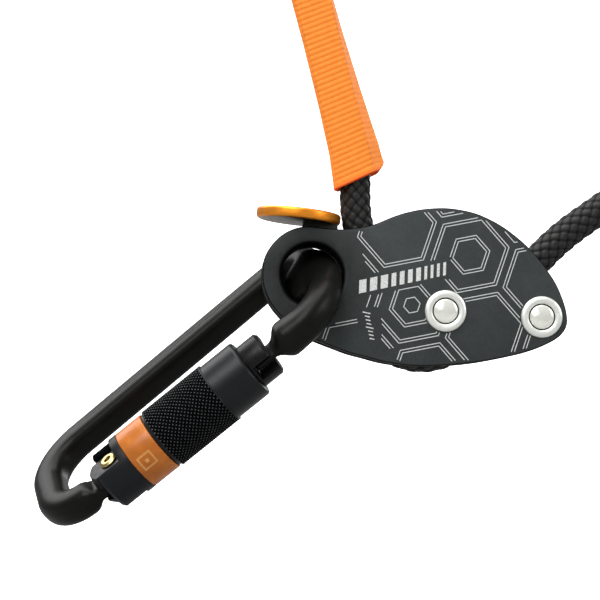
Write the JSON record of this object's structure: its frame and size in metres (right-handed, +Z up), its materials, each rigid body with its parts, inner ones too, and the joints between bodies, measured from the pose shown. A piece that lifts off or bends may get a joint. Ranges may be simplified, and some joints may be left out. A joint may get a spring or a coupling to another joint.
{
  "type": "rope grab",
  "caption": "Two-plate rope adjuster with cam, thumb disc release, braided rope with webbing sleeve, and a twist-lock connector through its eye.",
  "frame": {"origin": "on the axis of the eye, at the mid plane between the side plates", "axes": "plates lie parallel to XZ with the front plate towards -Y; +X from the eye towards the rope exit; +Z up towards the webbing sleeve"},
  "size_m": [0.1882, 0.0548, 0.183],
  "materials": {
    "plate_anodised": "satin dark blue-grey anodised",
    "ferrule_black": "matte black anodised",
    "bobbin_alloy": "turned, clear anodised",
    "stainless": "fine satin stainless",
    "cam_steel": "dark cast stainless",
    "disc_orange": "orange anodised, satin",
    "spring_steel": "drawn spring wire",
    "rope_white_core": "twisted filament core",
    "rope_black": "braided polyester",
    "webbing_orange": "ribbed tubular webbing",
    "connector_black": "satin black anodised forging",
    "sleeve_black": "satin black anodised, knurled",
    "band_orange": "orange indicator ring",
    "brass": "plain brass"
  },
  "bodies": {
    "housing": {"front_plate": "plate_anodised", "back_plate": "plate_anodised", "eye_ferrule": "ferrule_black", "rope_bobbin": "bobbin_alloy", "bobbin_key_pin": "stainless", "exit_spacer": "bobbin_alloy", "bobbin_rivet": "stainless", "exit_rivet": "stainless", "front_washers": "stainless", "back_washers": "stainless", "rope_core": "rope_white_core", "rope_mantle": "rope_black", "cam_spring": "spring_steel"},
    "release_lever": {"release_cam": "cam_steel", "thumb_disc": "disc_orange", "disc_screw": "stainless"},
    "connector": {"connector_body": "connector_black", "gate_rivet": "brass"},
    "gate": {"gate_body": "connector_black", "sleeve_circlip": "stainless", "gate_spring": "spring_steel", "sleeve_spring": "spring_steel"},
    "gate_lock": {"lock_sleeve": "sleeve_black", "lock_collar": "sleeve_black", "indicator_band": "band_orange"},
    "plunger": {"gate_plunger": "brass"},
    "webbing": {"webbing_sleeve": "webbing_orange"}
  },
  "joints": [
    {"name": "lever_release", "type": "hinge", "parent": "housing", "child": "release_lever", "pos_m": [0, 0, 0], "axis": [0, -1, 0], "range_deg": [0, 25]},
    {"name": "connector_swing", "type": "hinge", "parent": "housing", "child": "connector", "pos_m": [0, 0, 0], "axis": [0, 1, 0], "range_deg": [-15, 50]},
    {"name": "gate_open", "type": "hinge", "parent": "connector", "child": "gate", "pos_m": [-0.05866, -0.00969, -0.06094], "axis": [-0.6031, -0.4429, 0.6634], "range_deg": [0, 16]},
    {"name": "sleeve_twist", "type": "hinge", "parent": "gate", "child": "gate_lock", "pos_m": [-0.03971, -0.01267, -0.04571], "axis": [0.7735, -0.1219, 0.6219], "range_deg": [0, 90]},
    {"name": "plunger_travel", "type": "slide", "parent": "gate", "child": "plunger", "axis": [0.7735, -0.1219, 0.6219], "range_m": [0, 0.0009]},
    {"name": "webbing_slide", "type": "slide", "parent": "housing", "child": "webbing", "axis": [-0.2622, 0, 0.965], "range_m": [0, 0.01]}
  ],
  "couplings": [
    {"joint": "plunger_travel", "follows": "gate_open", "m_per_rad": 0.002149}
  ]
}
